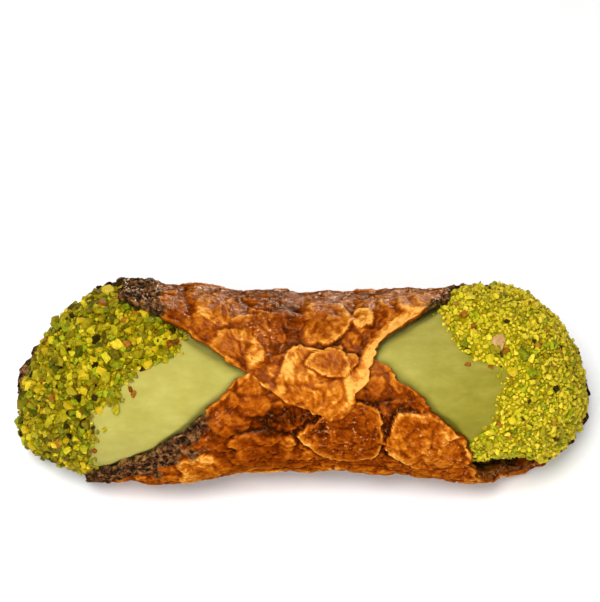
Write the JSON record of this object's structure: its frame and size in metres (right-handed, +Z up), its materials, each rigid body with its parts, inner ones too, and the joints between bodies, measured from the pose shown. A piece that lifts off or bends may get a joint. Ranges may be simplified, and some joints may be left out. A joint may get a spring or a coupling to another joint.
{
  "type": "filled pastry tube",
  "caption": "Large fried pastry tube wrapped with two overlapping flaps, filled with pistachio cream and dipped in chopped pistachios at both ends.",
  "frame": {"origin": "on the table, under the middle of the pastry's bounding box", "axes": "+X along the pastry's length towards its right end, +Z up, with the overlapping seam leaning half-way up towards -Y"},
  "size_m": [0.1448, 0.049, 0.0493],
  "materials": {
    "fried_dough": "blistered, glossy caramel brown crust",
    "pistachio_cream": "smooth matte pale green cream with chopped yellow-green nuts at the ends"
  },
  "bodies": {
    "root": {"shell": "fried_dough", "cream": "pistachio_cream"}
  },
  "joints": []
}
